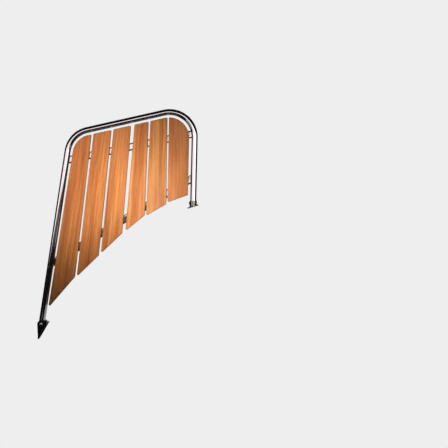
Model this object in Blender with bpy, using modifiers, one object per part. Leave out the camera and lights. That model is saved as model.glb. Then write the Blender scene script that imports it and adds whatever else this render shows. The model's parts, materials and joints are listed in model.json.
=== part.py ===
"""Boat grab rail: a bent stainless tube with a fan of teak slats on two flat bars, and two feet.

The rail lies in the XZ plane. +X points aft, +Z up, and the slats' front faces look along -Y.
The origin is the middle of the aft foot's mounting face. All sizes are in metres.
"""

import math

import bmesh
import bpy
from mathutils import Matrix, Vector

AIR = 0.0003  # left between pieces that touch
MERGE = 0.000001
OVERSHOOT = 0.010  # how far a cutter runs past what it cuts

# Tube. Leans are from the vertical, with the top of the leg towards +X.
TUBE_RADIUS = 0.0125
TUBE_WALL = 0.0015
TUBE_SIDES = 20
BEND_RADIUS = 0.100
BEND_STEPS = 11
FRONT_BOLT = Vector((-0.606, -0.468))
FRONT_LEAN = math.radians(8.55)
TOP_MIDDLE = Vector((-0.270, 0.3425))
TOP_SLOPE = math.radians(12.68)
AFT_LEAN = math.radians(1.27)
TUBE_PAST_BOLT = 0.009

# Slats, from the front leg to the aft leg. The joints between them are given by X on each bar.
SLAT_THICKNESS = 0.018
SLAT_FRONT_Y = -0.014
JOINT_GAPS = (0.008, 0.0085, 0.0138, 0.0066, 0.0057)
PANEL_GAP_FRONT = 0.0046  # at the front foot's bolt; it opens upwards
PANEL_EXTRA_LEAN = math.radians(0.41)
PANEL_GAP_TOP = 0.0093
PANEL_GAP_AFT = 0.0095
PANEL_CORNER_RADIUS = 0.080
PANEL_CORNER_STEPS = 22
JOINTS_X_UPPER = (-0.4115, -0.3304, -0.2480, -0.1776, -0.1005)
JOINTS_X_LOWER = (-0.4543, -0.3639, -0.2724, -0.1888, -0.1040)
# The heights of each slat's two lower corners
LOWER_CORNERS_Z = (
    (-0.4033, -0.2799),
    (-0.2793, -0.1944),
    (-0.1862, -0.1059),
    (-0.0964, -0.0337),
    (-0.0354, 0.0109),
    (0.0182, 0.0473),
)

LAST_SLAT = len(JOINTS_X_UPPER) + 1

# Cross bars
BAR_HEIGHT = 0.030
BAR_THICKNESS = 0.006
BAR_FRONT_Y = SLAT_FRONT_Y + SLAT_THICKNESS + AIR
UPPER_BAR_MIDDLE = Vector((-0.2516, 0.2408))
UPPER_BAR_SLOPE = math.radians(11.8)
LOWER_BAR_MIDDLE = Vector((-0.2862, -0.0560))
LOWER_BAR_SLOPE = math.radians(31.15)

# Slat screws, two at each crossing of a slat and a bar
SCREW_RADIUS = 0.0021
SCREW_LENGTH = 0.018
SCREW_HEAD_RADIUS = 0.004
SCREW_HEAD_HEIGHT = 0.0026
SCREW_SIDES = 8
SCREW_PLACES = (0.25, 0.75)

# Front foot: U runs up along the mounting face, N from the bolt to that face, V along +Y.
FOOT_FACE_ANGLE = math.radians(59.9)
FOOT_BOLT_TO_FACE = 0.020
FOOT_TIP_U = -0.0575
FOOT_TOP_U = 0.0225
FOOT_PLATE = 0.003
FOOT_PLATE_HALF_WIDTH = 0.031
FOOT_PLATE_CORNER = 0.008
CHEEK_INNER_Y = 0.0133
CHEEK_THICKNESS = 0.004
CHEEK_RADIUS = 0.0155
CHEEK_STEPS = 20
EAR_THICKNESS = 0.0025
EAR_HEIGHT = 0.016
END_WALL_HEIGHT = 0.009
FOOT_HOLES_U = (0.014, -0.044)
FOOT_HOLES_V = 0.0240
FIXING_HOLE_RADIUS = 0.0027
FIXING_HEAD_RADIUS = 0.0050

# Front foot fasteners
BOLT_RADIUS = 0.004
BOLT_CLEARANCE = 0.0003
BOLT_HEAD_RADIUS = 0.007
BOLT_HEAD_HEIGHT = 0.005
BOLT_END_PAST_NUT = 0.002
WASHER_RADIUS = 0.008
WASHER_THICKNESS = 0.0016
NUT_HEIGHT = 0.008
NUT_ACROSS_CORNERS = 0.015
PLUG_FLANGE = 0.0015
PLUG_FLANGE_RADIUS = 0.012
PLUG_DEPTH = 0.020

# Aft foot
FLANGE_SLOPE = math.radians(16.6)
FLANGE_THICKNESS = 0.0035
FLANGE_HALF_WIDTH = 0.023
FLANGE_HALF_LENGTH = 0.039
FLANGE_HOLE_Y = 0.0285
SOCKET_RADIUS = 0.01475
SOCKET_TOP = 0.024
SOCKET_FLOOR = 0.0065
BOSS_ANGLE = math.radians(35)
BOSS_RADIUS = 0.005
BOSS_REACH = 0.0175
BOSS_HEIGHT = 0.0145
SET_SCREW_RADIUS = 0.0025
SET_SCREW_LENGTH = 0.0044

ROUND_SIDES = 24  # of turned pieces


# Plane geometry. A line is a point and a unit direction, as 2D vectors of X and Z.


def heading(angle_from_horizontal):
    return Vector((math.cos(angle_from_horizontal), math.sin(angle_from_horizontal)))


def right_of(direction):
    return Vector((direction.y, -direction.x))


def shifted(line, distance):
    """The line moved to its own right."""
    point, direction = line
    return point + distance * right_of(direction), direction


def reversed_line(line):
    point, direction = line
    return point, -direction


def through(start, end):
    return start, (end - start).normalized()


def meet(line_a, line_b):
    (start_a, along_a), (start_b, along_b) = line_a, line_b
    return start_a + along_a * ((start_b - start_a).cross(along_b) / along_a.cross(along_b))


def right_hand_bend(line_in, line_out, radius, steps):
    """Points on the arc that rounds the corner between two lines, for a turn to the right."""
    turn = line_in[1].angle(line_out[1])
    start = meet(line_in, line_out) - line_in[1] * radius * math.tan(turn / 2)
    centre = start + right_of(line_in[1]) * radius
    spoke = start - centre
    return [centre + Matrix.Rotation(-turn * i / steps, 2) @ spoke for i in range(steps + 1)]


def clipped(outline, line):
    """The part of a closed outline that lies to the right of a line."""
    point, direction = line
    depths = [(corner - point).dot(right_of(direction)) for corner in outline]
    kept = []
    for i, corner in enumerate(outline):
        before = outline[i - 1]
        if (depths[i] > 0) != (depths[i - 1] > 0):
            kept.append(before.lerp(corner, depths[i - 1] / (depths[i - 1] - depths[i])))
        if depths[i] > 0:
            kept.append(corner)
    return kept


def in_plane(point, y=0.0):
    return Vector((point.x, y, point.y))


UP_FRONT_LEG = (FRONT_BOLT, heading(math.pi / 2 - FRONT_LEAN))
ALONG_TOP = (TOP_MIDDLE, heading(TOP_SLOPE))
DOWN_AFT_LEG = (Vector((0, 0)), -heading(math.pi / 2 - AFT_LEAN))
UPPER_BAR_LINE = (UPPER_BAR_MIDDLE, heading(UPPER_BAR_SLOPE))
LOWER_BAR_LINE = (LOWER_BAR_MIDDLE, heading(LOWER_BAR_SLOPE))


# Scene helpers


def clear_scene():
    for thing in list(bpy.data.objects):
        bpy.data.objects.remove(thing)


def new_collection(name):
    collection = bpy.data.collections.new(name)
    bpy.context.scene.collection.children.link(collection)
    return collection


def material(name, colour, roughness, metallic):
    made = bpy.data.materials.new(name)
    made.use_nodes = True
    shader = made.node_tree.nodes["Principled BSDF"]
    shader.inputs["Base Color"].default_value = (*colour, 1)
    shader.inputs["Roughness"].default_value = roughness
    shader.inputs["Metallic"].default_value = metallic
    return made


def place(name, mesh, matrix=None, finish=None):
    """A new object in the rail, or among the cutters when it has no finish."""
    made = bpy.data.objects.new(name, mesh)
    made.matrix_world = matrix or Matrix()
    if finish:
        if not mesh.materials:
            mesh.materials.append(finish)
        mesh.shade_smooth()
        mesh.set_sharp_from_angle(angle=math.radians(35))
        rail.objects.link(made)
    else:
        made.hide_render = True
        made.display_type = "WIRE"
        cutters.objects.link(made)
    return made


def finished_mesh(source):
    """The object's mesh with its modifiers applied and its caps joined on, and the object removed."""
    bpy.context.view_layer.update()
    graph = bpy.context.evaluated_depsgraph_get()
    mesh = bpy.data.meshes.new_from_object(source.evaluated_get(graph))
    bpy.data.objects.remove(source)
    body = bmesh.new()
    body.from_mesh(mesh)
    bmesh.ops.remove_doubles(body, verts=body.verts, dist=MERGE)
    body.to_mesh(mesh)
    body.free()
    return mesh


def tube_mesh(points, radius, capped):
    curve = bpy.data.curves.new("path", "CURVE")
    curve.dimensions = "3D"
    curve.bevel_depth = radius
    curve.bevel_resolution = (TUBE_SIDES - 4) // 2
    curve.use_fill_caps = capped
    path = curve.splines.new("POLY")
    path.points.add(len(points) - 1)
    for spot, point in zip(path.points, points):
        spot.co = (*point, 1)
    return finished_mesh(place("path", curve))


def plate_mesh(outline, thickness):
    """A flat outline in local XY, extruded by half the thickness to each side."""
    curve = bpy.data.curves.new("outline", "CURVE")
    curve.dimensions = "2D"
    curve.fill_mode = "BOTH"
    curve.extrude = thickness / 2
    loop = curve.splines.new("POLY")
    loop.points.add(len(outline) - 1)
    for spot, point in zip(loop.points, outline):
        spot.co = (point.x, point.y, 0, 1)
    loop.use_cyclic_u = True
    return finished_mesh(place("outline", curve))


def turned_mesh(profile, sides):
    """A turned shape about local Z, from (radius, height) pairs that run down its outer side."""
    body = bmesh.new()
    corners = [body.verts.new((radius, 0, height)) for radius, height in profile]
    for upper, lower in zip(corners, corners[1:]):
        body.edges.new((upper, lower))
    if profile[0][0] > 0:
        body.edges.new((corners[-1], corners[0]))
    line = bpy.data.meshes.new("profile")
    body.to_mesh(line)
    body.free()
    source = place("profile", line)
    lathe = source.modifiers.new("lathe", "SCREW")
    lathe.steps = sides
    lathe.render_steps = sides
    lathe.use_merge_vertices = True
    lathe.merge_threshold = MERGE
    return finished_mesh(source)


def cylinder_mesh(radius, low, high, sides=ROUND_SIDES):
    return turned_mesh([(0, high), (radius, high), (radius, low), (0, low)], sides)


def grouped_mesh(mesh, matrices):
    """Copies of one mesh, placed by the matrices, in a single mesh."""
    body = bmesh.new()
    for matrix in matrices:
        copy = mesh.copy()
        copy.transform(matrix)
        body.from_mesh(copy)
        bpy.data.meshes.remove(copy)
    group = bpy.data.meshes.new("group")
    body.to_mesh(group)
    body.free()
    return group


def boolean(target, other, operation):
    step = target.modifiers.new(other.name, "BOOLEAN")
    step.operation = operation
    step.object = other


def cut(target, *others):
    for other in others:
        boolean(target, other, "DIFFERENCE")


def join(target, *others):
    for other in others:
        boolean(target, other, "UNION")


def facing(direction, spot):
    """A frame at spot whose local Z points along direction."""
    turn = Vector(direction).to_track_quat("Z", "Y").to_matrix().to_4x4()
    return Matrix.Translation(spot) @ turn


def rail_plane(y):
    """A frame whose local XY is the rail's plane, at depth y, for a symmetric plate."""
    return Matrix.Translation((0, y, 0)) @ Matrix.Rotation(math.pi / 2, 4, "X")


# Frame


def tube_path():
    start = FRONT_BOLT - UP_FRONT_LEG[1] * TUBE_PAST_BOLT
    end = -DOWN_AFT_LEG[1] * (SOCKET_FLOOR + AIR)
    front_bend = right_hand_bend(UP_FRONT_LEG, ALONG_TOP, BEND_RADIUS, BEND_STEPS)
    aft_bend = right_hand_bend(ALONG_TOP, DOWN_AFT_LEG, BEND_RADIUS, BEND_STEPS + 4)
    return [in_plane(point) for point in [start, *front_bend, *aft_bend, end]]


def bolt_clearance():
    """The hole for the front foot's bolt, right through the foot and the tube."""
    reach = CHEEK_INNER_Y + CHEEK_THICKNESS + OVERSHOOT
    mesh = cylinder_mesh(BOLT_RADIUS + BOLT_CLEARANCE, -reach, reach, 16)
    return place("bolt_clearance", mesh, facing((0, 1, 0), in_plane(FRONT_BOLT)))


def make_tube():
    tube = place("frame_tube", tube_mesh(tube_path(), TUBE_RADIUS, capped=False), finish=stainless)
    wall = tube.modifiers.new("wall", "SOLIDIFY")
    wall.thickness = TUBE_WALL
    wall.offset = -1
    cut(tube, bolt_hole)


def bar_outline(line):
    middle, along = line
    half = along * (TOP_MIDDLE - FRONT_BOLT).length
    side = right_of(along) * BAR_HEIGHT / 2
    strip = [middle - half - side, middle + half - side, middle + half + side, middle - half + side]
    return clipped(clipped(strip, UP_FRONT_LEG), DOWN_AFT_LEG)


def make_bar(name, line):
    """A flat bar between the legs, its ends coped round the tube."""
    mesh = plate_mesh(bar_outline(line), BAR_THICKNESS)
    bar = place(name, mesh, rail_plane(BAR_FRONT_Y + BAR_THICKNESS / 2), stainless)
    cut(bar, tube_clearance, screw_holes)


# Slats


def panel_edges():
    """The three sides of the slatted panel, each a gap inside the tube."""
    beside_bolt, _ = shifted(UP_FRONT_LEG, TUBE_RADIUS + PANEL_GAP_FRONT)
    front = beside_bolt, heading(math.pi / 2 - FRONT_LEAN - PANEL_EXTRA_LEAN)
    top = shifted(ALONG_TOP, TUBE_RADIUS + PANEL_GAP_TOP)
    aft = shifted(DOWN_AFT_LEG, TUBE_RADIUS + PANEL_GAP_AFT)
    return front, top, aft


def panel_outline():
    front, top, aft = panel_edges()
    below = (Vector((0, LOWER_CORNERS_Z[0][0] - OVERSHOOT)), Vector((1, 0)))
    corners = right_hand_bend(front, top, PANEL_CORNER_RADIUS, PANEL_CORNER_STEPS)
    corners += right_hand_bend(top, aft, PANEL_CORNER_RADIUS, PANEL_CORNER_STEPS)
    return [meet(front, below), *corners, meet(aft, below)]


def on_bar(bar_line, x):
    """The point of a bar's middle line at the given X."""
    return meet(bar_line, (Vector((x, 0)), Vector((0, 1))))


def joint_line(joint, side):
    """Up the left (-1) or right (+1) edge of a slat joint."""
    aside = side * JOINT_GAPS[joint] / 2
    lower = on_bar(LOWER_BAR_LINE, JOINTS_X_LOWER[joint] + aside)
    upper = on_bar(UPPER_BAR_LINE, JOINTS_X_UPPER[joint] + aside)
    return through(lower, upper)


def slat_sides(number):
    """The left and right edge of a slat, both pointing up."""
    front, _, aft = panel_edges()
    left = joint_line(number - 2, 1) if number > 1 else front
    right = joint_line(number - 1, -1) if number < LAST_SLAT else reversed_line(aft)
    return left, right


def lower_edge(number):
    """The line of a slat's lower end, from its left corner to its right corner."""
    corners = [
        meet(side, (Vector((0, z)), Vector((1, 0))))
        for side, z in zip(slat_sides(number), LOWER_CORNERS_Z[number - 1])
    ]
    return through(*corners)


def slat_outline(number):
    left, right = slat_sides(number)
    outline = clipped(panel_outline(), reversed_line(lower_edge(number)))
    if number > 1:
        outline = clipped(outline, left)
    if number < LAST_SLAT:
        outline = clipped(outline, reversed_line(right))
    return outline


def make_slat(number):
    mesh = plate_mesh(slat_outline(number), SLAT_THICKNESS)
    middle = SLAT_FRONT_Y + SLAT_THICKNESS / 2
    slat = place(f"slat_{number}", mesh, rail_plane(middle), teak)
    cut(slat, screw_holes)


def screw_frames(number):
    """Frames on the bars' rear faces, local Z pointing away from the slat, for one slat's screws."""
    left, right = slat_sides(number)
    frames = []
    for bar_line in (UPPER_BAR_LINE, LOWER_BAR_LINE):
        start = meet(left, bar_line)
        end = meet(right, bar_line)
        for share in SCREW_PLACES:
            spot = in_plane(start.lerp(end, share), BAR_FRONT_Y + BAR_THICKNESS)
            frames.append(facing((0, 1, 0), spot))
    return frames


def screw_mesh():
    """A pan-head screw whose head sits on local Z = 0 and points along +Z."""
    top = SCREW_HEAD_HEIGHT + AIR
    profile = [
        (0, top),
        (SCREW_HEAD_RADIUS * 0.6, top - SCREW_HEAD_HEIGHT * 0.1),
        (SCREW_HEAD_RADIUS, top - SCREW_HEAD_HEIGHT * 0.5),
        (SCREW_HEAD_RADIUS, AIR),
        (SCREW_RADIUS, AIR),
        (SCREW_RADIUS, -SCREW_LENGTH + SCREW_RADIUS),
        (0, -SCREW_LENGTH),
    ]
    return turned_mesh(profile, SCREW_SIDES)


def all_screw_holes():
    drill = cylinder_mesh(SCREW_RADIUS + AIR, -SCREW_LENGTH - AIR * 2, OVERSHOOT, SCREW_SIDES)
    frames = [frame for number in SLAT_NUMBERS for frame in screw_frames(number)]
    return place("screw_holes", grouped_mesh(drill, frames))


# Front foot


def foot_frame():
    """Local X is U, local Y is N and local Z is V, from the bolt."""
    along = in_plane(heading(FOOT_FACE_ANGLE))
    outward = in_plane(right_of(heading(FOOT_FACE_ANGLE)))
    turn = Matrix((along, outward, Vector((0, 1, 0)))).transposed().to_4x4()
    return Matrix.Translation(in_plane(FRONT_BOLT)) @ turn


def cheek_outline():
    """A wedge from the lower tip, round the bolt and straight down to the base plate."""
    tip = Vector((FOOT_TIP_U, FOOT_BOLT_TO_FACE - FOOT_PLATE / 2))
    slack = math.asin(CHEEK_RADIUS / tip.length)
    first = math.atan2(tip.y, tip.x) + math.pi / 2 - slack
    last = math.tau
    angles = [first + (last - first) * i / CHEEK_STEPS for i in range(CHEEK_STEPS + 1)]
    arc = [CHEEK_RADIUS * heading(angle) for angle in angles]
    return [tip, *arc, Vector((CHEEK_RADIUS, tip.y))]


def rounded_rectangle(half_length, half_width, radius, steps):
    """An outline centred on the origin, its corners rounded, counter-clockwise from +X."""
    corners = ((1, 1), (-1, 1), (-1, -1), (1, -1))
    points = []
    for quarter, (side_x, side_y) in enumerate(corners):
        middle = Vector((side_x * (half_length - radius), side_y * (half_width - radius)))
        for i in range(steps + 1):
            points.append(middle + radius * heading((quarter + i / steps) * math.pi / 2))
    return points


def block_mesh(low, high):
    body = bmesh.new()
    bmesh.ops.create_cube(body, size=1)
    size = Vector(high) - Vector(low)
    middle = (Vector(high) + Vector(low)) / 2
    bmesh.ops.transform(body, verts=body.verts, matrix=Matrix.LocRotScale(middle, None, size))
    mesh = bpy.data.meshes.new("block")
    body.to_mesh(mesh)
    body.free()
    return mesh


def fixing_hole_mesh():
    """A drill and countersink for one fixing screw, local Z out of the plate's upper face."""
    sink = FIXING_HEAD_RADIUS - FIXING_HOLE_RADIUS
    return turned_mesh(
        [
            (0, OVERSHOOT / 2),
            (FIXING_HEAD_RADIUS, OVERSHOOT / 2),
            (FIXING_HEAD_RADIUS, 0),
            (FIXING_HOLE_RADIUS, -sink),
            (FIXING_HOLE_RADIUS, -OVERSHOOT),
            (0, -OVERSHOOT),
        ],
        16,
    )


def foot_plate():
    """The base plate, its outer face FOOT_BOLT_TO_FACE from the bolt."""
    half_length = (FOOT_TOP_U - FOOT_TIP_U) / 2
    outline = rounded_rectangle(half_length, FOOT_PLATE_HALF_WIDTH, FOOT_PLATE_CORNER, 6)
    middle = ((FOOT_TOP_U + FOOT_TIP_U) / 2, FOOT_BOLT_TO_FACE - FOOT_PLATE / 2, 0)
    frame = foot_frame() @ Matrix.Translation(middle) @ Matrix.Rotation(math.pi / 2, 4, "X")
    return place("front_foot_bracket", plate_mesh(outline, FOOT_PLATE), frame, cast_stainless)


def foot_block(name, low, high):
    return place(name, block_mesh(low, high), foot_frame())


def foot_fixing_holes():
    inner_face = FOOT_BOLT_TO_FACE - FOOT_PLATE
    spots = [
        foot_frame() @ Matrix.Translation((u, inner_face, v)) @ Matrix.Rotation(math.pi / 2, 4, "X")
        for u in FOOT_HOLES_U
        for v in (-FOOT_HOLES_V, FOOT_HOLES_V)
    ]
    return place("foot_fixing_holes", grouped_mesh(fixing_hole_mesh(), spots))


def make_front_bracket():
    """Two wedge cheeks on a base plate, with an ear past each cheek and a low wall between the ears."""
    bracket = foot_plate()
    in_plate = FOOT_BOLT_TO_FACE - FOOT_PLATE / 2
    ear_low = FOOT_BOLT_TO_FACE - EAR_HEIGHT
    wall_low = FOOT_BOLT_TO_FACE - END_WALL_HEIGHT
    ear_reach = CHEEK_INNER_Y + EAR_THICKNESS
    top = FOOT_TOP_U - AIR
    for side in (-1, 1):
        middle = side * (CHEEK_INNER_Y + CHEEK_THICKNESS / 2)
        cheek_frame = foot_frame() @ Matrix.Translation((0, 0, middle))
        cheek = place("cheek", plate_mesh(cheek_outline(), CHEEK_THICKNESS), cheek_frame)
        inner, outer = sorted((side * CHEEK_INNER_Y, side * ear_reach))
        ear_start = CHEEK_RADIUS - CHEEK_THICKNESS
        join(bracket, cheek, foot_block("ear", (ear_start, ear_low, inner), (top, in_plate, outer)))
    wall_half = ear_reach - AIR
    wall = foot_block("end_wall", (CHEEK_RADIUS, wall_low, -wall_half), (top, in_plate, wall_half))
    join(bracket, wall)
    cut(bracket, bolt_hole, foot_fixing_holes())


def make_front_fasteners():
    """Bolt, washers and nut on one axis along Y, the head in front."""
    axis = facing((0, 1, 0), in_plane(FRONT_BOLT))
    washer_start = CHEEK_INNER_Y + CHEEK_THICKNESS + AIR
    head_start = washer_start + WASHER_THICKNESS + AIR
    nut_end = head_start + NUT_HEIGHT
    dome_steps = 4
    dome = [
        (
            BOLT_HEAD_RADIUS * math.cos(i / dome_steps * math.pi / 2),
            -head_start - 0.001 - (BOLT_HEAD_HEIGHT - 0.001) * math.sin(i / dome_steps * math.pi / 2),
        )
        for i in range(dome_steps)
    ]
    profile = [
        (0, nut_end + BOLT_END_PAST_NUT),
        (BOLT_RADIUS, nut_end + BOLT_END_PAST_NUT),
        (BOLT_RADIUS, -head_start),
        (BOLT_HEAD_RADIUS, -head_start),
        *dome,
        (0, -head_start - BOLT_HEAD_HEIGHT),
    ]
    place("front_foot_bolt", turned_mesh(profile, ROUND_SIDES), axis, fastener_steel)

    inner = BOLT_RADIUS + BOLT_CLEARANCE
    ring = turned_mesh(
        [
            (inner, WASHER_THICKNESS),
            (WASHER_RADIUS, WASHER_THICKNESS),
            (WASHER_RADIUS, 0),
            (inner, 0),
        ],
        ROUND_SIDES,
    )
    nut_side = axis @ Matrix.Translation((0, 0, washer_start))
    head_side = axis @ Matrix.Translation((0, 0, -washer_start - WASHER_THICKNESS))
    place("front_foot_nut_washer", ring, nut_side, fastener_steel)
    place("front_foot_bolt_washer", ring, head_side, fastener_steel)

    hexagon = [NUT_ACROSS_CORNERS / 2 * heading(i * math.pi / 3) for i in range(6)]
    nut_frame = axis @ Matrix.Translation((0, 0, head_start + NUT_HEIGHT / 2))
    nut = place("front_foot_nut", plate_mesh(hexagon, NUT_HEIGHT), nut_frame, fastener_steel)
    bore = cylinder_mesh(inner, -NUT_HEIGHT, NUT_HEIGHT, 16)
    cut(nut, place("nut_bore", bore, nut_frame))


def make_end_plug():
    """A stepped plug in the tube's lower end, drilled across for the bolt."""
    flange_top = -TUBE_PAST_BOLT - AIR
    plug_radius = TUBE_RADIUS - TUBE_WALL - AIR
    profile = [
        (0, flange_top + PLUG_DEPTH),
        (plug_radius, flange_top + PLUG_DEPTH),
        (plug_radius, flange_top),
        (PLUG_FLANGE_RADIUS, flange_top),
        (PLUG_FLANGE_RADIUS, flange_top - PLUG_FLANGE),
        (0, flange_top - PLUG_FLANGE),
    ]
    along_leg = facing(in_plane(UP_FRONT_LEG[1]), in_plane(FRONT_BOLT))
    plug = place("front_leg_end_plug", turned_mesh(profile, ROUND_SIDES), along_leg, nylon)
    cut(plug, bolt_hole)


# Aft foot


def leg_frame():
    return facing(in_plane(-DOWN_AFT_LEG[1]), (0, 0, 0))


def flange_frame():
    """Local XY is the mounting face, local Z points into the foot."""
    return Matrix.Rotation(-FLANGE_SLOPE, 4, "Y")


def boss_frames():
    """Frames on the leg's axis at the set screws' height, local Z out through each screw."""
    frames = []
    for side in (-1, 1):
        outward = Vector((side * math.sin(BOSS_ANGLE), math.cos(BOSS_ANGLE), 0))
        frames.append(Matrix.Translation((0, 0, BOSS_HEIGHT)) @ facing(outward, (0, 0, 0)))
    return frames


def make_aft_base():
    flange = flange_frame()
    leg = leg_frame()
    low = -OVERSHOOT
    corner = FLANGE_HALF_WIDTH - AIR
    outline = rounded_rectangle(FLANGE_HALF_WIDTH, FLANGE_HALF_LENGTH, corner, 8)
    thickness = FLANGE_THICKNESS - low
    plate_frame = flange @ Matrix.Translation((0, 0, (FLANGE_THICKNESS + low) / 2))
    base = place("aft_foot_base", plate_mesh(outline, thickness), plate_frame, cast_stainless)
    socket = place("socket", cylinder_mesh(SOCKET_RADIUS, low, SOCKET_TOP, 40), leg)
    boss = cylinder_mesh(BOSS_RADIUS, TUBE_RADIUS / 2, BOSS_REACH, 16)
    bosses = [
        place(f"boss_{number}", boss.copy(), leg @ frame)
        for number, frame in enumerate(boss_frames(), 1)
    ]
    join(base, socket, *bosses)
    reach = 3 * FLANGE_HALF_LENGTH
    deck = place("below_deck", block_mesh((-reach, -reach, -reach), (reach, reach, 0)), flange)
    bore = cylinder_mesh(TUBE_RADIUS + AIR, SOCKET_FLOOR, SOCKET_TOP + OVERSHOOT, 32)
    screw_bore = cylinder_mesh(SET_SCREW_RADIUS + AIR, TUBE_RADIUS / 2, BOSS_REACH + OVERSHOOT, 12)
    screw_bores = grouped_mesh(screw_bore, [leg @ frame for frame in boss_frames()])
    drill = fixing_hole_mesh()
    spots = [
        flange @ Matrix.Translation((0, side * FLANGE_HOLE_Y, FLANGE_THICKNESS)) for side in (-1, 1)
    ]
    cut(
        base,
        deck,
        place("socket_bore", bore, leg),
        place("set_screw_bores", screw_bores),
        place("flange_fixing_holes", grouped_mesh(drill, spots)),
    )


def make_set_screws():
    start = TUBE_RADIUS + AIR
    stud = cylinder_mesh(SET_SCREW_RADIUS, start, start + SET_SCREW_LENGTH, 12)
    for number, frame in enumerate(boss_frames(), 1):
        place(f"aft_foot_set_screw_{number}", stud, leg_frame() @ frame, fastener_steel)


clear_scene()
rail = new_collection("grab_rail")
cutters = new_collection("cutters")

stainless = material("polished_stainless", (0.60, 0.59, 0.58), 0.08, 1.0)
cast_stainless = material("cast_stainless", (0.52, 0.51, 0.50), 0.15, 1.0)
fastener_steel = material("stainless_fasteners", (0.56, 0.55, 0.54), 0.20, 1.0)
teak = material("oiled_teak", (0.50, 0.23, 0.09), 0.55, 0.0)
nylon = material("black_nylon", (0.02, 0.02, 0.02), 0.50, 0.0)

SLAT_NUMBERS = range(1, LAST_SLAT + 1)

bolt_hole = bolt_clearance()
tube_clearance = place("tube_clearance", tube_mesh(tube_path(), TUBE_RADIUS + AIR, capped=True))
screw_holes = all_screw_holes()

make_tube()
make_bar("upper_bar", UPPER_BAR_LINE)
make_bar("lower_bar", LOWER_BAR_LINE)
slat_screw = screw_mesh()
for slat_number in SLAT_NUMBERS:
    make_slat(slat_number)
    for screw_number, screw_frame in enumerate(screw_frames(slat_number), 1):
        place(f"slat_{slat_number}_screw_{screw_number}", slat_screw, screw_frame, fastener_steel)
make_front_bracket()
make_front_fasteners()
make_end_plug()
make_aft_base()
make_set_screws()
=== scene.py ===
"""Looks of the boat grab rail: a mirror-polished bent tube with teak slats on two flat bars.

The rail lies in the XZ plane. +X points aft, +Z up, and the slats' front faces look along -Y.
The origin is the middle of the aft foot's mounting face. All sizes are in metres.
"""

import json
import math
import random

import bmesh
import bpy
from mathutils import Matrix, Vector
from mathutils.geometry import convex_hull_2d


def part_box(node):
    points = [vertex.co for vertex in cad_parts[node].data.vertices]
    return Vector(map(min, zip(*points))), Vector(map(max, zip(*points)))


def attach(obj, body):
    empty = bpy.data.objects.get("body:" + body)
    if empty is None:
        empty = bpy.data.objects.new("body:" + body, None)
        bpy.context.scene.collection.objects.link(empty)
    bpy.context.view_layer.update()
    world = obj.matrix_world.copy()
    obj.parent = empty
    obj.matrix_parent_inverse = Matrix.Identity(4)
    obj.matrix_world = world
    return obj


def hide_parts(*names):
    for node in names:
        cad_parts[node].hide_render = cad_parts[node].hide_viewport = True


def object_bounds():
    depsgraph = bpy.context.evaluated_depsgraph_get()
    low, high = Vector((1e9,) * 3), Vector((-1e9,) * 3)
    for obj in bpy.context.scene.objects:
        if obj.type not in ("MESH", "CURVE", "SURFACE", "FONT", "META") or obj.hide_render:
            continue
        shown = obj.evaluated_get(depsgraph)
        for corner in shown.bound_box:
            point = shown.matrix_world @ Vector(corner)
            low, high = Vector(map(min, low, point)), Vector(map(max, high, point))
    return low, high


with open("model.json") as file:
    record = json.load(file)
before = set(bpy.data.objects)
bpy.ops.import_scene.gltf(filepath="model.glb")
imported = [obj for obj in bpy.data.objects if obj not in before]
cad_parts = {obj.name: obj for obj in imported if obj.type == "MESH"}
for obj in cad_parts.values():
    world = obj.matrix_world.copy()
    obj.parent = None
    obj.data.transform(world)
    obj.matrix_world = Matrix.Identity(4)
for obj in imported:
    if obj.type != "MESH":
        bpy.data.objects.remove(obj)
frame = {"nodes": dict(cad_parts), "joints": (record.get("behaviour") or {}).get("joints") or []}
cad_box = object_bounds()

AIR = 0.0003  # left between pieces that touch
MERGE = 0.000001

# Tube and bars. Leans are from the vertical, with the top of the leg towards +X.
TUBE_RADIUS = 0.0125
TUBE_WALL = 0.0015
TUBE_SIDES = 64
TUBE_PAST_BOLT = 0.009
DRILL_SIDES = 32  # of the bolt's hole through it
DRILL_REACH = 0.03
TUBE_LOW_END = 0.0068  # up the aft leg, at the floor of its socket
BEND_RADIUS = 0.100
FRONT_BEND_STEPS = 32
AFT_BEND_STEPS = 48
FRONT_LEAN = math.radians(8.55)
TOP_SLOPE = math.radians(12.68)
AFT_LEAN = math.radians(1.27)
BAR_HEIGHT = 0.030
BAR_THICKNESS = 0.006
BAR_CROWN = (0.0029, 0.0070)  # how far its rounded long edges reach in thickness and height
CROWN_STEPS = 7
BAR_SLOPES = {"upper_bar": math.radians(11.8), "lower_bar": math.radians(31.15)}
WELD_RADIUS = 0.0015
WELD_PITCH = 0.0016
WELD_DIP = 0.22  # how far a scallop narrows, as a share of its radius
STEPS_PER_DIP = 6.0
WELD_SIDES = 12

# Slats and what holds them
SLAT_COUNT = 6
SLAT_EDGE = 0.0024
SLAT_CORNER = 0.004
SLAT_CORNER_STEPS = 6
SLAT_CORNER_TURN = math.radians(30)  # an outline corner that turns more is rounded
SLAT_TINTS = ("#FFF6F0", "#FFF4F4", "#FFF9FF", "#FAF1E4", "#FDFFF9", "#FFF4F7")
SCREWS_PER_SLAT = 4
SCREW_HEAD_RADIUS = 0.004
SCREW_HEAD_HEIGHT = 0.0026
SCREW_RADIUS = 0.0021
SCREW_LENGTH = 0.018
SCREW_SIDES = 24
SCREW_DOME_STEPS = 6
CROSS_ARM = ((-0.0024, -0.00055), (0.0024, -0.00055), (0.0024, 0.00055), (-0.0024, 0.00055))

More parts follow.
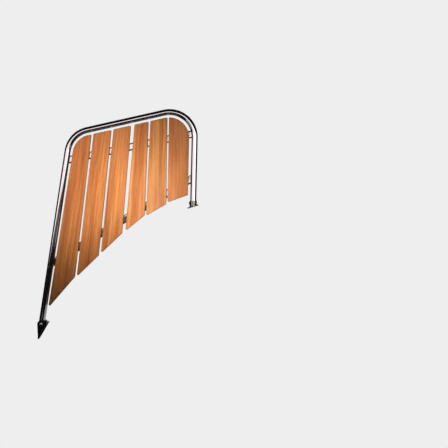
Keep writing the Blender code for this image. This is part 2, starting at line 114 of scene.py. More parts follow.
# Feet and what turns or is screwed into them
TURNED_SIDES = 48
BOLT_RADIUS = 0.004
BOLT_HEAD_RADIUS = 0.007
BOLT_DOME = 0.004
BOLT_RIM = 0.001
BOLT_DOME_STEPS = 12
BOLT_KEY = 0.005  # across the flats of the key's socket
BOLT_KEY_DEPTH = 0.0026
THREAD_PITCH = 0.00125
THREAD_LENGTH = 0.010
THREAD_ROOT = 0.88  # as a share of the bolt's radius
THREAD_LEAD = 0.0006
WASHER_RIM = 0.00025
NUT_ACROSS_CORNERS = 0.015
NUT_COLLAR = 0.0022
SET_SCREW_KEY = 0.0025
SET_SCREW_RADIUS = 0.0025
SET_SCREW_LENGTH = 0.0044
SET_SCREW_CHAMFER = 0.0003
CAST_EDGE = 0.0011
PLUG_EDGE = 0.0004
PAST = 0.002  # how far a cutter reaches past what it opens

# Edges of meshes
EASED_STEPS = 3
EASED_TURN = math.radians(32)  # an edge that turns more is rounded
SHARP_TURN = math.radians(35)  # an edge that turns more is shaded as sharp

# Studio
GROUND_COLOUR = "#EEEEEE"
LENS = 100.4  # in millimetres, as is the sensor
SENSOR_WIDTH = 36
CAMERA_PLACE = (0.1236, -5.0, -0.0684)
FLOOR_REACH = 30
FLOOR_DROP = 0.004


# Plane geometry. A line is a point and a unit direction, as 2D vectors of X and Z.


def heading(angle_from_horizontal):
    return Vector((math.cos(angle_from_horizontal), math.sin(angle_from_horizontal)))


def right_of(direction):
    return Vector((direction.y, -direction.x))


def meet(line_a, line_b):
    (start_a, along_a), (start_b, along_b) = line_a, line_b
    return start_a + along_a * ((start_b - start_a).cross(along_b) / along_a.cross(along_b))


def right_hand_bend(line_in, line_out, radius, steps):
    """Points on the arc that rounds the corner between two lines, for a turn to the right."""
    turn = line_in[1].angle(line_out[1])
    start = meet(line_in, line_out) - line_in[1] * radius * math.tan(turn / 2)
    centre = start + right_of(line_in[1]) * radius
    spoke = start - centre
    return [centre + Matrix.Rotation(-turn * i / steps, 2) @ spoke for i in range(steps + 1)]


def in_plane(point, y=0.0):
    return Vector((point.x, y, point.y))


def flat(point):
    return Vector((point[0], point[2]))


def middle_of(node):
    low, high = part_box(node)
    return (low + high) / 2


def facing(direction, spot):
    """A frame at spot whose local Z points along direction."""
    turn = Vector(direction).to_track_quat("Z", "Y").to_matrix().to_4x4()
    return Matrix.Translation(spot) @ turn


def top_line():
    """The top run's middle line, which touches the aft bend where the tube stands highest."""
    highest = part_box("frame_tube")[1].z
    bend_axis_z = highest - TUBE_RADIUS - BEND_RADIUS
    bend_axis_line = (Vector((0, bend_axis_z)), Vector((1, 0)))
    beside_leg = (right_of(DOWN_AFT_LEG[1]) * BEND_RADIUS, DOWN_AFT_LEG[1])
    bend_axis = meet(bend_axis_line, beside_leg)
    along = heading(TOP_SLOPE)
    return bend_axis - right_of(along) * BEND_RADIUS, along


BOLT_PLACE = Vector(frame["joints"][0]["pos_m"])
UP_FRONT_LEG = (flat(BOLT_PLACE), heading(math.pi / 2 - FRONT_LEAN))
DOWN_AFT_LEG = (Vector((0, 0)), -heading(math.pi / 2 - AFT_LEAN))
ALONG_TOP = top_line()
BOLT_AXIS = facing((0, 1, 0), BOLT_PLACE)


# Nodes


def first_output(node):
    return next(socket for socket in node.outputs if socket.enabled)


def add_node(tree, kind, settings=None, fed=None):
    """A new node. fed maps an input's name or number to a value, a node or a node's output."""
    made = tree.nodes.new(kind)
    for name, value in (settings or {}).items():
        setattr(made, name, value)
    for key, value in (fed or {}).items():
        if isinstance(key, int):
            socket = made.inputs[key]
        else:
            socket = next(each for each in made.inputs if each.name == key and each.enabled)
        if isinstance(value, bpy.types.Node):
            value = first_output(value)
        if isinstance(value, bpy.types.NodeSocket):
            tree.links.new(value, socket)
        else:
            socket.default_value = value
    return made


def linear(hex_colour):
    """An sRGB hex colour as linear RGBA."""
    channels = [int(hex_colour[i : i + 2], 16) / 255 for i in (1, 3, 5)]
    return (*[c / 12.92 if c <= 0.04045 else ((c + 0.055) / 1.055) ** 2.4 for c in channels], 1)


def new_finish(name, **sockets):
    """A material whose shader has the given constants. Returns it, its tree and its shader."""
    made = bpy.data.materials.new(name)
    made.use_nodes = True
    shader = made.node_tree.nodes["Principled BSDF"]
    for socket, value in sockets.items():
        shader.inputs[socket.replace("_", " ")].default_value = value
    return made, made.node_tree, shader


# Finishes


def mirror_polished_stainless():
    """316 stainless tube and flat bar, ground along its length and buffed to a mirror.

    It reads as a near-perfect mirror with faint hairlines along the stock and soft hand marks.
    """
    finish, tree, shader = new_finish(
        "mirror_polished_stainless", Base_Color=linear("#D3D0CE"), Metallic=1.0
    )
    place = add_node(tree, "ShaderNodeTexCoord")
    hand_marks = add_node(
        tree,
        "ShaderNodeTexNoise",
        fed={"Vector": place.outputs["Object"], "Scale": 1 / 0.035, "Detail": 3.0},
    )
    section = add_node(tree, "ShaderNodeAttribute", {"attribute_name": "section"})
    along = add_node(tree, "ShaderNodeAttribute", {"attribute_name": "along"})
    # Hairlines lie 0.6 mm apart round the stock and run 40 mm along it.
    round_stock = add_node(
        tree,
        "ShaderNodeVectorMath",
        {"operation": "SCALE"},
        {"Vector": section.outputs["Vector"], "Scale": 1 / 0.0006},
    )
    down_stock = add_node(
        tree,
        "ShaderNodeMath",
        {"operation": "MULTIPLY"},
        {0: along.outputs["Fac"], 1: 1 / 0.040},
    )
    stretched = add_node(tree, "ShaderNodeSeparateXYZ", fed={"Vector": round_stock})
    stock_place = add_node(
        tree,
        "ShaderNodeCombineXYZ",
        fed={"X": stretched.outputs["X"], "Y": stretched.outputs["Y"], "Z": down_stock},
    )
    hairlines = add_node(
        tree,
        "ShaderNodeTexNoise",
        fed={"Vector": stock_place, "Scale": 1.0, "Detail": 2.0},
    )
    haze = add_node(
        tree,
        "ShaderNodeMapRange",
        fed={
            "Value": hand_marks,
            "From Min": 0.35,
            "From Max": 0.75,
            "To Min": 0.04,
            "To Max": 0.08,
        },
    )
    marked = add_node(
        tree,
        "ShaderNodeMath",
        {"operation": "MULTIPLY_ADD"},
        {0: hairlines, 1: 0.03, 2: haze},
    )
    relief = add_node(
        tree,
        "ShaderNodeBump",
        fed={"Strength": 0.008, "Distance": 0.0002, "Height": hairlines},
    )
    tree.links.new(first_output(marked), shader.inputs["Roughness"])
    tree.links.new(first_output(relief), shader.inputs["Normal"])
    return finish


def dressed_weld():
    """TIG weld in stainless, pickled and wire-brushed but not ground flat.

    It reads as small satin scallops, a shade warmer than the mirror round it.
    """
    finish, tree, shader = new_finish("brushed_tig_weld", Metallic=1.0)
    place = add_node(tree, "ShaderNodeTexCoord")
    heat = add_node(
        tree,
        "ShaderNodeTexNoise",
        fed={"Vector": place.outputs["Object"], "Scale": 1 / 0.006, "Detail": 2.0},
    )
    tint = add_node(
        tree,
        "ShaderNodeMix",
        {"data_type": "RGBA"},
        {"Factor": heat, "A": linear("#C9C6C2"), "B": linear("#B3A48C")},
    )
    satin = add_node(
        tree,
        "ShaderNodeMapRange",
        fed={"Value": heat, "From Min": 0.3, "From Max": 0.7, "To Min": 0.20, "To Max": 0.32},
    )
    tree.links.new(tint.outputs[2], shader.inputs["Base Color"])
    tree.links.new(first_output(satin), shader.inputs["Roughness"])
    return finish


def buffed_casting():
    """Investment-cast 316 stainless, tumbled and buffed.

    It reads as a mirror that is slightly wavy, with a few fine pits the mop did not reach.
    """
    finish, tree, shader = new_finish("buffed_stainless_casting", Metallic=1.0)
    place = add_node(tree, "ShaderNodeTexCoord")
    skin = add_node(
        tree,
        "ShaderNodeTexNoise",
        fed={"Vector": place.outputs["Object"], "Scale": 1 / 0.012, "Detail": 2.0},
    )
    # Pits are 0.4 mm wide and 3 mm apart.
    pits = add_node(
        tree,
        "ShaderNodeTexVoronoi",
        fed={"Vector": place.outputs["Object"], "Scale": 1 / 0.003},
    )
    pit_floor = add_node(
        tree,
        "ShaderNodeMapRange",
        fed={"Value": pits.outputs["Distance"], "From Min": 0.02, "From Max": 0.08},
    )
    shade = add_node(
        tree,
        "ShaderNodeMix",
        {"data_type": "RGBA"},
        {"Factor": pit_floor, "A": linear("#5C5855"), "B": linear("#827E7B")},
    )
    buffed = add_node(
        tree,
        "ShaderNodeMapRange",
        fed={"Value": skin, "From Min": 0.3, "From Max": 0.7, "To Min": 0.07, "To Max": 0.13},
    )
    wave = add_node(
        tree, "ShaderNodeBump", fed={"Strength": 0.06, "Distance": 0.0004, "Height": skin}
    )
    relief = add_node(
        tree,
        "ShaderNodeBump",
        fed={"Strength": 0.2, "Distance": 0.0001, "Height": pit_floor, "Normal": wave},
    )
    tree.links.new(shade.outputs[2], shader.inputs["Base Color"])
    tree.links.new(first_output(buffed), shader.inputs["Roughness"])
    tree.links.new(first_output(relief), shader.inputs["Normal"])
    return finish


def turned_fastener():
    """A4 stainless screws, bolt and nut, turned or headed and left as they come.

    It reads as a soft satin with tool rings 0.25 mm apart round each piece's own axis.
    """
    finish, tree, shader = new_finish(
        "turned_a4_fastener", Base_Color=linear("#BDBAB7"), Metallic=1.0
    )
    own_place = add_node(tree, "ShaderNodeAttribute", {"attribute_name": "own_place"})
    across = add_node(
        tree,
        "ShaderNodeVectorMath",
        {"operation": "MULTIPLY"},
        {0: own_place.outputs["Vector"], 1: (1, 1, 0)},
    )
    radius = add_node(tree, "ShaderNodeVectorMath", {"operation": "LENGTH"}, {0: across})
    rings = add_node(
        tree,
        "ShaderNodeMath",
        {"operation": "SINE"},
        {
            0: add_node(
                tree,
                "ShaderNodeMath",
                {"operation": "MULTIPLY"},
                {0: radius.outputs["Value"], 1: math.tau / 0.00025},
            )
        },
    )
    handling = add_node(
        tree,
        "ShaderNodeTexNoise",
        fed={"Vector": own_place.outputs["Vector"], "Scale": 1 / 0.002, "Detail": 3.0},
    )
    satin = add_node(
        tree,
        "ShaderNodeMapRange",
        fed={"Value": handling, "From Min": 0.3, "From Max": 0.7, "To Min": 0.17, "To Max": 0.30},
    )
    relief = add_node(
        tree, "ShaderNodeBump", fed={"Strength": 0.15, "Distance": 0.00003, "Height": rings}
    )
    tree.links.new(first_output(satin), shader.inputs["Roughness"])
    tree.links.new(first_output(relief), shader.inputs["Normal"])
    return finish


def moulded_nylon():
    """Black nylon, injection moulded in a lightly sparked tool.

    It reads as a dull black with a fine even texture.
    """
    finish, tree, shader = new_finish("moulded_black_nylon", Base_Color=linear("#17171A"))
    place = add_node(tree, "ShaderNodeTexCoord")
    sparked = add_node(
        tree,
        "ShaderNodeTexNoise",
        fed={"Vector": place.outputs["Object"], "Scale": 1 / 0.0004, "Detail": 2.0},
    )
    dull = add_node(
        tree,
        "ShaderNodeMapRange",
        fed={"Value": sparked, "From Min": 0.3, "From Max": 0.7, "To Min": 0.42, "To Max": 0.58},
    )
    relief = add_node(
        tree, "ShaderNodeBump", fed={"Strength": 0.2, "Distance": 0.00005, "Height": sparked}
    )
    tree.links.new(first_output(dull), shader.inputs["Roughness"])
    tree.links.new(first_output(relief), shader.inputs["Normal"])
    return finish


def oiled_teak():
    """Rift-sawn teak, planed, eased by hand and oiled.

    It reads as straight streaks along each board, from honey to red-brown, with growth lines
    that run nearly along it, short dark pores, and a low sheen from the oil. Its arrises and
    sides carry painted shade.
    """
    finish, tree, shader = new_finish("oiled_teak", Specular_IOR_Level=0.3)
    grain = add_node(tree, "ShaderNodeAttribute", {"attribute_name": "grain"})
    tint = add_node(tree, "ShaderNodeAttribute", {"attribute_name": "tint"})

    # The trunk was not quite straight: lines wander by some millimetres over a hand's length.
    slow_place = add_node(
        tree,
        "ShaderNodeVectorMath",
        {"operation": "MULTIPLY"},
        {0: grain.outputs["Vector"], 1: (1 / 0.030, 1 / 0.030, 1 / 0.260)},
    )
    wander = add_node(
        tree, "ShaderNodeTexNoise", fed={"Vector": slow_place, "Scale": 1.0, "Detail": 2.0}
    )
    drift = add_node(
        tree,
        "ShaderNodeVectorMath",
        {"operation": "MULTIPLY_ADD"},
        {0: wander.outputs["Color"], 1: (0.016, 0.016, 0.0), 2: grain.outputs["Vector"]},
    )

    # Growth rings: the distance from the pith, which leaves the board slowly towards its top.
    # They are drawn 8 mm apart, twice as coarse as teak's, so that they show from afar.
    parts = add_node(tree, "ShaderNodeSeparateXYZ", fed={"Vector": drift})
    in_section = add_node(
        tree, "ShaderNodeCombineXYZ", fed={"X": parts.outputs["X"], "Y": parts.outputs["Y"]}
    )
    from_pith = add_node(tree, "ShaderNodeVectorMath", {"operation": "LENGTH"}, {0: in_section})
    coned = add_node(
        tree,
        "ShaderNodeMath",
        {"operation": "MULTIPLY_ADD"},
        {0: parts.outputs["Z"], 1: 0.012, 2: from_pith.outputs["Value"]},
    )
    ring_number = add_node(
        tree, "ShaderNodeMath", {"operation": "MULTIPLY"}, {0: coned, 1: 1 / 0.008}
    )
    in_ring = add_node(tree, "ShaderNodeMath", {"operation": "FRACT"}, {0: ring_number})
    late_wood = add_node(
        tree,
        "ShaderNodeMapRange",
        {"interpolation_type": "SMOOTHSTEP"},
        {"Value": in_ring, "From Min": 0.50, "From Max": 0.98},
    )

    # Bands of heartwood colour lie 14 mm apart, fibres 1.2 mm and pores 0.6 mm. Pores are 8 mm
    # long. Fibres and pores are drawn coarser than teak's, so that they show.
    band_place = add_node(
        tree,
        "ShaderNodeVectorMath",
        {"operation": "MULTIPLY"},
        {0: drift, 1: (1 / 0.014, 1 / 0.014, 1 / 0.420)},
    )
    bands = add_node(
        tree,
        "ShaderNodeTexNoise",
        fed={"Vector": band_place, "Scale": 1.0, "Detail": 3.0, "Roughness": 0.55},
    )
    fibre_place = add_node(
        tree,
        "ShaderNodeVectorMath",
        {"operation": "MULTIPLY"},
        {0: drift, 1: (1 / 0.0012, 1 / 0.0012, 1 / 0.060)},
    )
    fibres = add_node(
        tree,
        "ShaderNodeTexNoise",
        fed={"Vector": fibre_place, "Scale": 1.0, "Detail": 4.0, "Roughness": 0.6},
    )
    pore_place = add_node(
        tree,
        "ShaderNodeVectorMath",
        {"operation": "MULTIPLY"},
        {0: drift, 1: (1 / 0.0006, 1 / 0.0006, 1 / 0.008)},
    )
    pore_noise = add_node(
        tree, "ShaderNodeTexNoise", fed={"Vector": pore_place, "Scale": 1.0, "Detail": 1.0}
    )
    pores = add_node(
        tree,
        "ShaderNodeMapRange",
        {"interpolation_type": "SMOOTHSTEP"},
        {"Value": pore_noise, "From Min": 0.62, "From Max": 0.74},
    )

    heart = add_node(tree, "ShaderNodeValToRGB", fed={"Fac": bands})
    ramp = heart.color_ramp
    ramp.elements[0].position = 0.30
    ramp.elements[0].color = linear("#B15A1E")
    ramp.elements[1].position = 0.72
    ramp.elements[1].color = linear("#E2954A")
    middle = ramp.elements.new(0.50)
    middle.color = linear("#CB7A34")

    fibre_shade = add_node(
        tree,
        "ShaderNodeMapRange",
        fed={"Value": fibres, "From Min": 0.25, "From Max": 0.75, "To Min": 0.86, "To Max": 1.13},
    )
    ring_shade = add_node(
        tree,
        "ShaderNodeMapRange",
        fed={"Value": late_wood, "To Min": 1.02, "To Max": 0.89},
    )
    pore_shade = add_node(
        tree,
        "ShaderNodeMapRange",
        fed={"Value": pores, "To Min": 1.0, "To Max": 0.45},
    )
    shade = add_node(
        tree, "ShaderNodeMath", {"operation": "MULTIPLY"}, {0: fibre_shade, 1: ring_shade}
    )
    pored = add_node(tree, "ShaderNodeMath", {"operation": "MULTIPLY"}, {0: shade, 1: pore_shade})
    # Painted shade: the arrises and the sides, which turn away from the front and back faces, are
    # darkened by how far they turn.
    place = add_node(tree, "ShaderNodeTexCoord")
    normal = add_node(tree, "ShaderNodeSeparateXYZ", fed={"Vector": place.outputs["Normal"]})
    facing_out = add_node(
        tree, "ShaderNodeMath", {"operation": "ABSOLUTE"}, {0: normal.outputs["Y"]}
    )
    painted_arris_shade = add_node(
        tree,
        "ShaderNodeMapRange",
        fed={"Value": facing_out, "From Min": 0.50, "From Max": 0.97, "To Min": 0.42},
    )
    edge_shade_painted = add_node(
        tree, "ShaderNodeMath", {"operation": "MULTIPLY"}, {0: pored, 1: painted_arris_shade}
    )
    tinted = add_node(
        tree,
        "ShaderNodeVectorMath",
        {"operation": "MULTIPLY"},
        {0: heart.outputs["Color"], 1: tint.outputs["Vector"]},
    )
    colour = add_node(
        tree,
        "ShaderNodeVectorMath",
        {"operation": "SCALE"},
        {"Vector": tinted, "Scale": edge_shade_painted},
    )
    sheen = add_node(
        tree,
        "ShaderNodeMapRange",
        fed={"Value": fibres, "From Min": 0.3, "From Max": 0.7, "To Min": 0.38, "To Max": 0.54},
    )
    fibre_relief = add_node(
        tree, "ShaderNodeBump", fed={"Strength": 0.25, "Distance": 0.0002, "Height": fibres}
    )
    relief = add_node(
        tree,
        "ShaderNodeBump",
        {"invert": True},
        {"Strength": 0.35, "Distance": 0.0002, "Height": pores, "Normal": fibre_relief},
    )
    tree.links.new(first_output(colour), shader.inputs["Base Color"])
    tree.links.new(first_output(sheen), shader.inputs["Roughness"])
    tree.links.new(first_output(relief), shader.inputs["Normal"])
    return finish


# Mesh making


def new_piece(name, mesh):
    made = bpy.data.objects.new(name, mesh)
    bpy.context.scene.collection.objects.link(made)
    return made


def baked(piece):
    """Turns what the piece's modifiers make into its plain mesh."""
    bpy.context.view_layer.update()
    graph = bpy.context.evaluated_depsgraph_get()
    mesh = bpy.data.meshes.new_from_object(
        piece.evaluated_get(graph), preserve_all_data_layers=True, depsgraph=graph
    )
    piece.modifiers.clear()
    mesh.name = piece.name
    piece.data = mesh
    return piece


def smoothed(piece):
    piece.data.shade_smooth()
    piece.data.set_sharp_from_angle(angle=SHARP_TURN)
    return piece


def flattened(piece):
    """Keeps broad faces reading as flat where they meet rounded edges."""
    smoothed(piece)
    step = piece.modifiers.new("flat_faces", "WEIGHTED_NORMAL")
    step.keep_sharp = True
    return baked(piece)


def mesh_of(body, name):
    mesh = bpy.data.meshes.new(name)
    body.to_mesh(mesh)
    body.free()
    return mesh


def line_mesh(points, closed=False):
    body = bmesh.new()
    corners = [body.verts.new(point) for point in points]
    for start, end in zip(corners, corners[1:]):
        body.edges.new((start, end))
    if closed:
        body.edges.new((corners[-1], corners[0]))
    return mesh_of(body, "line")


def turned_mesh(profile, sides, bored=False):
    """A turned solid about local Z, from (radius, height) pairs down its outer side.

    A bored one's profile is closed, and runs back up its bore.
    """
    body = bmesh.new()
    rings = []
    for radius, height in profile:
        if radius == 0:
            rings.append([body.verts.new((0, 0, height))] * sides)
        else:
            spokes = [heading(math.tau * i / sides) * radius for i in range(sides)]
            rings.append([body.verts.new((*spoke, height)) for spoke in spokes])
    pairs = list(zip(rings, rings[1:]))
    if bored:
        pairs.append((rings[-1], rings[0]))
    for upper, lower in pairs:
        for i in range(sides):
            loop = [upper[i - 1], lower[i - 1], lower[i], upper[i]]
            body.faces.new(dict.fromkeys(loop))
    return mesh_of(body, "turned")


def prism_mesh(outline, low, high):
    """A solid with the given outline in local XY, from height low to height high."""
    body = bmesh.new()
    face = body.faces.new([body.verts.new((*point, low)) for point in outline])
    raised = bmesh.ops.extrude_face_region(body, geom=[face])
    top = [each for each in raised["geom"] if isinstance(each, bmesh.types.BMVert)]
    bmesh.ops.translate(body, verts=top, vec=(0, 0, high - low))
    bmesh.ops.recalc_face_normals(body, faces=body.faces)
    return mesh_of(body, "prism")


def hexagon(across_flats):
    corner = across_flats / math.sqrt(3)
    return [corner * heading(math.radians(60 * i)) for i in range(6)]


def cut(piece, cutter_mesh, operation="DIFFERENCE"):
    """Cuts the piece with a mesh, or keeps only what both share."""
    cutter = new_piece("cutter", cutter_mesh)
    step = piece.modifiers.new("cut", "BOOLEAN")
    step.operation = operation
    step.object = cutter
    baked(piece)
    bpy.data.objects.remove(cutter)
    return piece


def eased(piece, width):
    """Rounds every edge that is not nearly flat already."""
    step = piece.modifiers.new("eased", "BEVEL")
    step.width = width
    step.segments = EASED_STEPS
    step.limit_method = "ANGLE"
    step.angle_limit = EASED_TURN
    step.miter_outer = "MITER_ARC"
    return baked(piece)


def merged_copy(name, node):
    """A copy of a CAD node with its corners merged and its flat faces made whole."""
    body = bmesh.new()
    body.from_mesh(frame["nodes"][node].data)
    bmesh.ops.remove_doubles(body, verts=body.verts, dist=MERGE)
    bmesh.ops.dissolve_limit(
        body, angle_limit=math.radians(1), verts=body.verts, edges=body.edges
    )
    return new_piece(name, mesh_of(body, name))


def keep_own_place(mesh):
    """Stores each corner's place about the piece's own axis, for its tool marks."""
    own_place = mesh.attributes.new("own_place", "FLOAT_VECTOR", "POINT")
    for corner, value in zip(mesh.vertices, own_place.data):
        value.vector = corner.co
    return mesh


def finished(piece, finish, body, slot, *nodes):
    """Gives a piece its finish, hangs it on its body's empty and hides the CAD nodes it stands in
    for.
    """
    piece.data.materials.clear()
    piece.data.materials.append(finish)
    flattened(piece)
    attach(piece, body)
    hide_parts(*nodes)
    return piece


# Geometry trees. Each starts here and ends with real geometry that carries its finish.


def new_tree(name, inputs):
    """A geometry tree with the given inputs. Returns it and the node that holds them."""
    tree = bpy.data.node_groups.new(name, "GeometryNodeTree")
    tree.interface.new_socket("Geometry", in_out="INPUT", socket_type="NodeSocketGeometry")
    for label, kind in inputs.items():
        tree.interface.new_socket(label, in_out="INPUT", socket_type="NodeSocket" + kind)
    tree.interface.new_socket("Finish", in_out="INPUT", socket_type="NodeSocketMaterial")
    tree.interface.new_socket("Geometry", in_out="OUTPUT", socket_type="NodeSocketGeometry")
    return tree, add_node(tree, "NodeGroupInput")


def end_tree(tree, given, geometry):
    real = add_node(tree, "GeometryNodeRealizeInstances", fed={"Geometry": geometry})
    coated = add_node(
        tree,
        "GeometryNodeSetMaterial",
        fed={"Geometry": real, "Material": given.outputs["Finish"]},
    )
    add_node(tree, "NodeGroupOutput", fed={"Geometry": coated})


def grown(name, mesh, tree, **values):
    """The plain piece that a tree makes from a mesh, with the tree's inputs set by name."""
    piece = new_piece(name, mesh)
    step = piece.modifiers.new(tree.name, "NODES")
    step.node_group = tree
    for item in tree.interface.items_tree:
        key = item.name.replace(" ", "_").lower()
        if item.in_out == "INPUT" and key in values:
            step[item.identifier] = values[key]
    return baked(piece)


def stock_tree():
    """Tube or flat bar: a section drawn along a path, which remembers where it lies on both."""
    tree, given = new_tree("drawn_stock", {"Section": "Object"})
    path = add_node(tree, "GeometryNodeMeshToCurve", fed={"Mesh": given.outputs["Geometry"]})
    reach = add_node(tree, "GeometryNodeSplineParameter")
    measured = add_node(
        tree,
        "GeometryNodeStoreNamedAttribute",
        {"data_type": "FLOAT", "domain": "POINT"},
        {"Geometry": path, "Name": "along", "Value": reach.outputs["Length"]},
    )
    die = add_node(tree, "GeometryNodeObjectInfo", fed={"Object": given.outputs["Section"]})
    ring = add_node(
        tree, "GeometryNodeMeshToCurve", fed={"Mesh": die.outputs["Geometry"]}
    )
    place = add_node(tree, "GeometryNodeInputPosition")
    marked = add_node(
        tree,
        "GeometryNodeStoreNamedAttribute",
        {"data_type": "FLOAT_VECTOR", "domain": "POINT"},
        {"Geometry": ring, "Name": "section", "Value": place},
    )
    drawn = add_node(
        tree,
        "GeometryNodeCurveToMesh",
        fed={"Curve": measured, "Profile Curve": marked},
    )
    end_tree(tree, given, drawn)
    return tree


def weld_tree():
    """A bead laid round a joint, one scallop for each dip of the filler rod."""
    tree, given = new_tree("weld_bead", {"Bead Radius": "Float", "Pitch": "Float", "Dip": "Float"})
    joint = add_node(tree, "GeometryNodeMeshToCurve", fed={"Mesh": given.outputs["Geometry"]})
    spacing = add_node(
        tree,
        "ShaderNodeMath",
        {"operation": "DIVIDE"},
        {0: given.outputs["Pitch"], 1: STEPS_PER_DIP},
    )
    fine = add_node(
        tree,
        "GeometryNodeResampleCurve",
        {"mode": "LENGTH"},
        {"Curve": joint, "Length": spacing},
    )
    reach = add_node(tree, "GeometryNodeSplineParameter")
    dips = add_node(
        tree,
        "ShaderNodeMath",
        {"operation": "DIVIDE"},
        {0: reach.outputs["Length"], 1: given.outputs["Pitch"]},
    )
    in_dip = add_node(tree, "ShaderNodeMath", {"operation": "FRACT"}, {0: dips})
    hollow = add_node(tree, "ShaderNodeMath", {"operation": "POWER"}, {0: in_dip, 1: 2.0})
    depth = add_node(
        tree,
        "ShaderNodeMath",
        {"operation": "MULTIPLY"},
        {0: hollow, 1: given.outputs["Dip"]},
    )
    swell = add_node(tree, "ShaderNodeMath", {"operation": "SUBTRACT"}, {0: 1.0, 1: depth})
    ring = add_node(
        tree,
        "GeometryNodeCurvePrimitiveCircle",
        fed={"Resolution": WELD_SIDES, "Radius": given.outputs["Bead Radius"]},
    )
    bead = add_node(
        tree,
        "GeometryNodeCurveToMesh",
        fed={"Curve": fine, "Profile Curve": ring, "Scale": swell},
    )
    end_tree(tree, given, bead)
    return tree


def screw_tree():
    """Screws at each given point, driven home to whatever turn they stopped at."""
    tree, given = new_tree("driven_screws", {"Screw": "Object", "Seed": "Int"})
    one = add_node(tree, "GeometryNodeObjectInfo", fed={"Object": given.outputs["Screw"]})
    turn = add_node(
        tree,
        "FunctionNodeRandomValue",
        {"data_type": "FLOAT"},
        {"Min": 0.0, "Max": math.tau, "Seed": given.outputs["Seed"]},
    )
    # Local Z of the screw points along +Y, so a turn about it comes before the tip.
    spin = add_node(tree, "ShaderNodeCombineXYZ", fed={"Z": turn})
    tipped = add_node(
        tree,
        "FunctionNodeRotateRotation",
        {"rotation_space": "LOCAL"},
        {"Rotation": (-math.pi / 2, 0, 0), "Rotate By": spin},
    )
    driven = add_node(
        tree,
        "GeometryNodeInstanceOnPoints",
        fed={
            "Points": given.outputs["Geometry"],
            "Instance": one.outputs["Geometry"],
            "Rotation": tipped,
        },
    )
    end_tree(tree, given, driven)
    return tree


def board_tree():
    """A board of a given thickness from its front outline, with its place in the log."""
    tree, given = new_tree(
        "sawn_board",
        {"Thickness": "Float", "Lean": "Float", "Log Place": "Vector", "Tint": "Vector"},
    )
    back = add_node(
        tree, "ShaderNodeCombineXYZ", fed={"X": 0.0, "Y": given.outputs["Thickness"], "Z": 0.0}
    )
    depth = add_node(
        tree,
        "GeometryNodeExtrudeMesh",
        {"mode": "FACES"},
        {"Mesh": given.outputs["Geometry"], "Offset": back, "Individual": False},
    )
    front = add_node(
        tree, "GeometryNodeFlipFaces", fed={"Mesh": given.outputs["Geometry"]}
    )
    both = add_node(tree, "GeometryNodeJoinGeometry")
    tree.links.new(first_output(front), both.inputs[0])
    tree.links.new(depth.outputs["Mesh"], both.inputs[0])
    closed = add_node(
        tree, "GeometryNodeMergeByDistance", fed={"Geometry": both, "Distance": MERGE}
    )
    place = add_node(tree, "GeometryNodeInputPosition")
    upright = add_node(
        tree,
        "ShaderNodeVectorRotate",
        {"rotation_type": "Y_AXIS"},
        {"Vector": place, "Center": (0, 0, 0), "Angle": given.outputs["Lean"]},
    )
    in_log = add_node(
        tree,
        "ShaderNodeVectorMath",
        {"operation": "SUBTRACT"},
        {0: upright, 1: given.outputs["Log Place"]},
    )
    grained = add_node(
        tree,
        "GeometryNodeStoreNamedAttribute",
        {"data_type": "FLOAT_VECTOR", "domain": "POINT"},
        {"Geometry": closed, "Name": "grain", "Value": in_log},
    )
    toned = add_node(
        tree,
        "GeometryNodeStoreNamedAttribute",
        {"data_type": "FLOAT_VECTOR", "domain": "POINT"},
        {"Geometry": grained, "Name": "tint", "Value": given.outputs["Tint"]},
    )
    end_tree(tree, given, toned)
    return tree


# Tube, bars and their welds


def tube_path():
    start = UP_FRONT_LEG[0] - UP_FRONT_LEG[1] * TUBE_PAST_BOLT
    end = -DOWN_AFT_LEG[1] * TUBE_LOW_END
    front_bend = right_hand_bend(UP_FRONT_LEG, ALONG_TOP, BEND_RADIUS, FRONT_BEND_STEPS)
    aft_bend = right_hand_bend(ALONG_TOP, DOWN_AFT_LEG, BEND_RADIUS, AFT_BEND_STEPS)
    return [in_plane(point) for point in [start, *front_bend, *aft_bend, end]]


def tube_section():
    return [TUBE_RADIUS * heading(math.tau * i / TUBE_SIDES) for i in range(TUBE_SIDES)]


def bar_section():
    """A flat bar's section with rounded arrises, thickness along local X and height along Y."""
    points = []
    for quarter, (side_x, side_y) in enumerate(((1, 1), (-1, 1), (-1, -1), (1, -1))):
        middle = Vector((side_x * BAR_THICKNESS / 2, side_y * BAR_HEIGHT / 2))
        middle -= Vector((side_x, side_y)) * Vector(BAR_CROWN)
        for i in range(CROWN_STEPS + 1):
            spoke = heading((quarter + i / CROWN_STEPS) * math.pi / 2)
            points.append(middle + spoke * Vector(BAR_CROWN))
    return points


def drawn(name, path, section):
    """Tube or bar, drawn along a path through a die with the given section."""
    die = new_piece("die", line_mesh([(*point, 0) for point in section], closed=True))
    drawn_piece = grown(name, line_mesh(path), stock, section=die, finish=polished)
    bpy.data.objects.remove(die)
    return drawn_piece


def bar_line(node):
    return flat(middle_of(node)), heading(BAR_SLOPES[node])


def make_tube():
    tube = drawn("bent_tube", tube_path(), tube_section())
    wall = tube.modifiers.new("wall", "SOLIDIFY")
    wall.thickness = TUBE_WALL
    wall.offset = -1
    baked(tube)
    bore = BOLT_RADIUS + AIR
    ends = ((0, DRILL_REACH), (bore, DRILL_REACH), (bore, -DRILL_REACH), (0, -DRILL_REACH))
    drill = turned_mesh(ends, DRILL_SIDES)
    drill.transform(BOLT_AXIS)
    cut(tube, drill)
    finished(tube, polished, "rail", "tube_and_bars", "frame_tube")


def tube_cutter():
    """A solid that fills the tube, for coping what meets it."""
    section = [point * (1 + AIR / TUBE_RADIUS / 3) for point in tube_section()]
    filled = drawn("cutter", tube_path(), section)
    body = bmesh.new()
    body.from_mesh(filled.data)
    bmesh.ops.holes_fill(body, edges=body.edges)
    bpy.data.objects.remove(filled)
    return mesh_of(body, "tube_cutter")


